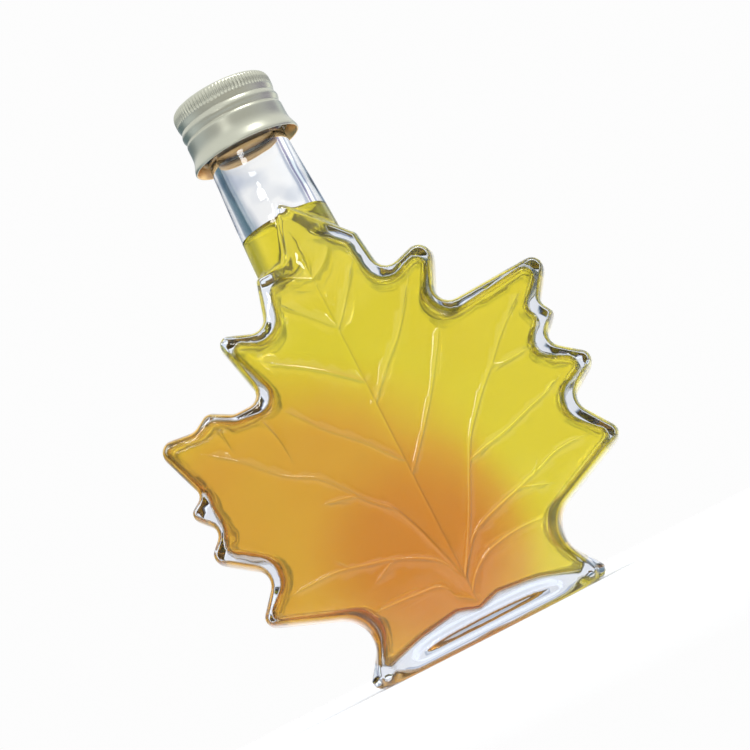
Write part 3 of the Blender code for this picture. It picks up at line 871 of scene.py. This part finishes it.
def stage_floor():
    """Pale floor that fades into the white around it."""
    bpy.ops.mesh.primitive_circle_add(vertices=FLOOR_SIDES, radius=FLOOR_RADIUS, fill_type="NGON",
                                      location=(0, 0, 0))
    floor = bpy.context.object
    floor.name = "stage_floor"
    made, tree, shader = principled("stage_floor")
    shader.inputs["Base Color"].default_value = (*FLOOR_COLOR, 1)
    shader.inputs["Roughness"].default_value = FLOOR_ROUGHNESS
    shader.inputs["Emission Color"].default_value = (*FLOOR_GLOW, 1)
    shader.inputs["Emission Strength"].default_value = FLOOR_GLOW_STRENGTH
    place = tree.nodes.new("ShaderNodeTexCoord").outputs["Object"]
    length = tree.nodes.new("ShaderNodeVectorMath")
    length.operation = "LENGTH"
    tree.links.new(place, length.inputs[0])
    outwards = math_node(tree, "DIVIDE", length.outputs["Value"], FLOOR_RADIUS)
    tree.links.new(ramp(tree, outwards, FLOOR_FADE), shader.inputs["Alpha"])
    floor.data.materials.append(made)


def studio():
    """World light: plain white behind the object, softly banded for the glass to show."""
    world = bpy.data.worlds.new("studio")
    bpy.context.scene.world = world
    world.use_nodes = True
    tree = world.node_tree
    tree.nodes.clear()
    direction = tree.nodes.new("ShaderNodeTexCoord").outputs["Generated"]
    split = tree.nodes.new("ShaderNodeSeparateXYZ")
    tree.links.new(direction, split.inputs[0])
    azimuth = math_node(tree, "ARCTAN2", split.outputs["X"], split.outputs["Y"])
    turn = math_node(tree, "MULTIPLY_ADD", azimuth, 1 / tau, 0.5)
    around = ramp(tree, turn, STUDIO_STOPS)
    height = math_node(tree, "MULTIPLY_ADD", split.outputs["Z"], 0.5, 0.5)
    above = ramp(tree, height, ABOVE_STOPS)
    layered = tree.nodes.new("ShaderNodeMix")
    layered.data_type = "RGBA"
    layered.blend_type = "MULTIPLY"
    layered.inputs["Factor"].default_value = 1.0
    tree.links.new(around, layered.inputs["A"])
    tree.links.new(ramp(tree, height, HEIGHT_STOPS), layered.inputs["B"])
    blend = tree.nodes.new("ShaderNodeMix")
    blend.data_type = "RGBA"
    tree.links.new(above, blend.inputs["Factor"])
    tree.links.new(layered.outputs["Result"], blend.inputs["A"])
    blend.inputs["B"].default_value = (*ABOVE_COLOR, 1)
    banded = tree.nodes.new("ShaderNodeBackground")
    banded.inputs["Strength"].default_value = STUDIO_STRENGTH
    tree.links.new(blend.outputs["Result"], banded.inputs["Color"])
    plain = tree.nodes.new("ShaderNodeBackground")
    plain.inputs["Color"].default_value = (*BACKDROP_COLOR, 1)
    mix = tree.nodes.new("ShaderNodeMixShader")
    tree.links.new(tree.nodes.new("ShaderNodeLightPath").outputs["Is Camera Ray"], mix.inputs["Fac"])
    tree.links.new(banded.outputs["Background"], mix.inputs[1])
    tree.links.new(plain.outputs["Background"], mix.inputs[2])
    out = tree.nodes.new("ShaderNodeOutputWorld")
    tree.links.new(mix.outputs["Shader"], out.inputs["Surface"])


def softbox(name, place, size, power):
    """Area light aimed at the middle of the bottle."""
    data = bpy.data.lights.new(name, "AREA")
    data.shape = "RECTANGLE"
    data.size, data.size_y = size
    data.energy = power
    made = bpy.data.objects.new(name, data)
    bpy.context.scene.collection.objects.link(made)
    made.location = place
    aim = Vector(SOFTBOX_AIM) - made.location
    made.rotation_mode = "QUATERNION"
    made.rotation_quaternion = aim.to_track_quat("-Z", "Y")


def camera():
    """Camera low in front of the foot, looking up and rolled as the photo is."""
    data = bpy.data.cameras.new("camera")
    data.lens = CAMERA_LENS
    made = bpy.data.objects.new("camera", data)
    bpy.context.scene.collection.objects.link(made)
    turn = Matrix.Rotation(-radians(CAMERA_YAW), 4, "Z")
    tilt = Matrix.Rotation(pi / 2 + radians(CAMERA_PITCH), 4, "X")
    roll = Matrix.Rotation(radians(CAMERA_ROLL), 4, "Z")
    made.matrix_world = Matrix.Translation(Vector(CAMERA_PLACE) * MM) @ turn @ tilt @ roll
    data.clip_start = 0.01
    bpy.context.scene.camera = made


dress(glass_bottle(), clear_glass(), "bottle")
dress(syrup_filling(), golden_syrup(), "syrup")
dress(screw_cap(), pale_aluminium(), "cap")
stage_floor()
studio()
for light in SOFTBOXES:
    softbox(*light)
camera()
bpy.context.scene.view_settings.view_transform = "Standard"
